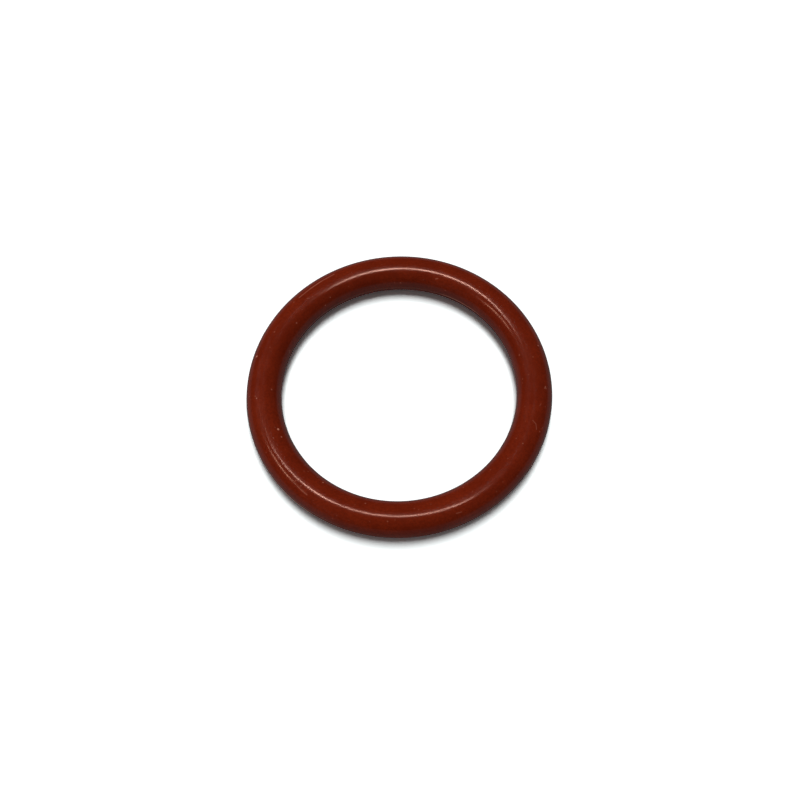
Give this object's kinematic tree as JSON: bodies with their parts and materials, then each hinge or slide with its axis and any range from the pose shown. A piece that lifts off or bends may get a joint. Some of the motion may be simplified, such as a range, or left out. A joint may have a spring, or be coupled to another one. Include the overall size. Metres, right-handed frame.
{
  "type": "silicone o-ring",
  "caption": "Round-section silicone sealing ring that lies flat, with fine trimmed flash round its inner and outer diameter.",
  "frame": {"origin": "centre of the ring, on its axis and in the plane where its mould parts", "axes": "+Z along the axis of the ring; the ring lies flat in the XY plane"},
  "size_m": [0.0308, 0.0308, 0.0036],
  "materials": {
    "silicone": "smooth moulded silicone rubber with a soft gloss"
  },
  "bodies": {
    "root": {"o_ring": "silicone"}
  },
  "joints": []
}
